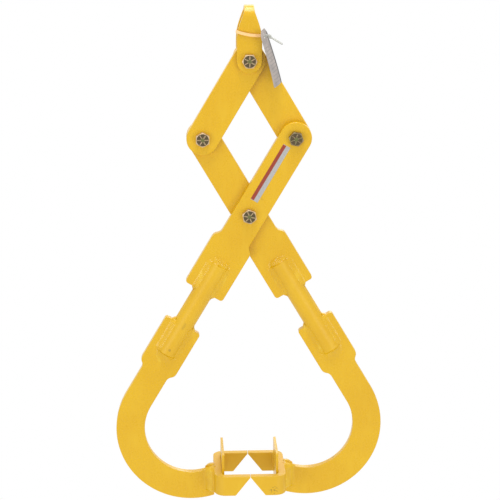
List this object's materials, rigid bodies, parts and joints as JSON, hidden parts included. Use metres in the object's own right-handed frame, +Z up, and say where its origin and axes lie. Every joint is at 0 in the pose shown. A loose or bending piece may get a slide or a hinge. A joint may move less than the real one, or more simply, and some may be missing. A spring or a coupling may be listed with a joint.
{
  "type": "lifting tongs",
  "caption": "Hanging scissor tongs of yellow painted steel plate with a strap bail, linked crossed arms and bent-bar jaws that close under a load as it is lifted.",
  "frame": {"origin": "underside of the bail's crown, where the crane hook bears, in the middle of the tongs", "axes": "+Z up; +X to the right seen from the front, along the opening of the jaws; -Y towards the viewer, along the pivot bolts to their heads"},
  "size_m": [0.4564, 0.127, 0.8547],
  "materials": {
    "yellow_paint": "brushed-on gloss enamel, warm yellow, over plate and welds",
    "zinc_plate": "dull yellow-grey zinc plate",
    "natural_nylon": "natural nylon, slightly milky",
    "tag_card": "coated card, pale grey, bare",
    "label_film": "printed film in two plain colours, red and white, no lettering"
  },
  "bodies": {
    "bail": {"bail_strap": "yellow_paint", "cable_tie": "natural_nylon", "top_bolt": "zinc_plate", "top_washer": "zinc_plate", "top_lock_nut": "zinc_plate", "top_nylon_ring": "natural_nylon"},
    "tag": {"hang_tag": "tag_card"},
    "left_link": {"left_link": "yellow_paint", "left_bolt": "zinc_plate", "left_washer": "zinc_plate", "left_lock_nut": "zinc_plate", "left_nylon_ring": "natural_nylon"},
    "right_link": {"right_link": "yellow_paint", "right_bolt": "zinc_plate", "right_washer": "zinc_plate", "right_lock_nut": "zinc_plate", "right_nylon_ring": "natural_nylon"},
    "right_arm": {"right_arm_plate": "yellow_paint", "right_rod": "yellow_paint", "right_hook_plate": "yellow_paint", "right_jaw_bar": "yellow_paint", "right_stop_plate": "yellow_paint", "right_hook_welds": "yellow_paint", "right_stop_weld": "yellow_paint", "right_upper_rod_welds": "yellow_paint", "right_lower_rod_welds": "yellow_paint"},
    "left_arm": {"left_arm_plate": "yellow_paint", "left_rod": "yellow_paint", "left_hook_plate": "yellow_paint", "left_jaw_bar": "yellow_paint", "left_stop_plate": "yellow_paint", "left_hook_welds": "yellow_paint", "left_stop_weld": "yellow_paint", "left_upper_rod_welds": "yellow_paint", "left_lower_rod_welds": "yellow_paint", "centre_bolt": "zinc_plate", "centre_washer": "zinc_plate", "centre_lock_nut": "zinc_plate", "centre_nylon_ring": "natural_nylon", "label_strip": "label_film"}
  },
  "joints": [
    {"name": "bail_swing", "type": "hinge", "parent": "bail", "child": "left_link", "pos_m": [0, 0, -0.0805], "axis": [0, 1, 0], "range_deg": [-25, 45]},
    {"name": "spread", "type": "hinge", "parent": "left_link", "child": "right_link", "pos_m": [0, 0, -0.0805], "axis": [0, -1, 0], "range_deg": [0, 40]},
    {"name": "right_arm_turn", "type": "hinge", "parent": "left_link", "child": "right_arm", "pos_m": [-0.07735, 0, -0.21181], "axis": [0, 1, 0], "range_deg": [-40, 0]},
    {"name": "left_arm_turn", "type": "hinge", "parent": "right_link", "child": "left_arm", "pos_m": [0.07735, 0, -0.21181], "axis": [0, 1, 0], "range_deg": [0, 40]},
    {"name": "tag_swing", "type": "hinge", "parent": "bail", "child": "tag", "pos_m": [0.02608, -0.02155, -0.03943], "axis": [-1, 0, 0], "range_deg": [0, 30]}
  ],
  "couplings": [
    {"joint": "right_arm_turn", "follows": "spread", "ratio": -1},
    {"joint": "left_arm_turn", "follows": "spread", "ratio": 1}
  ]
}
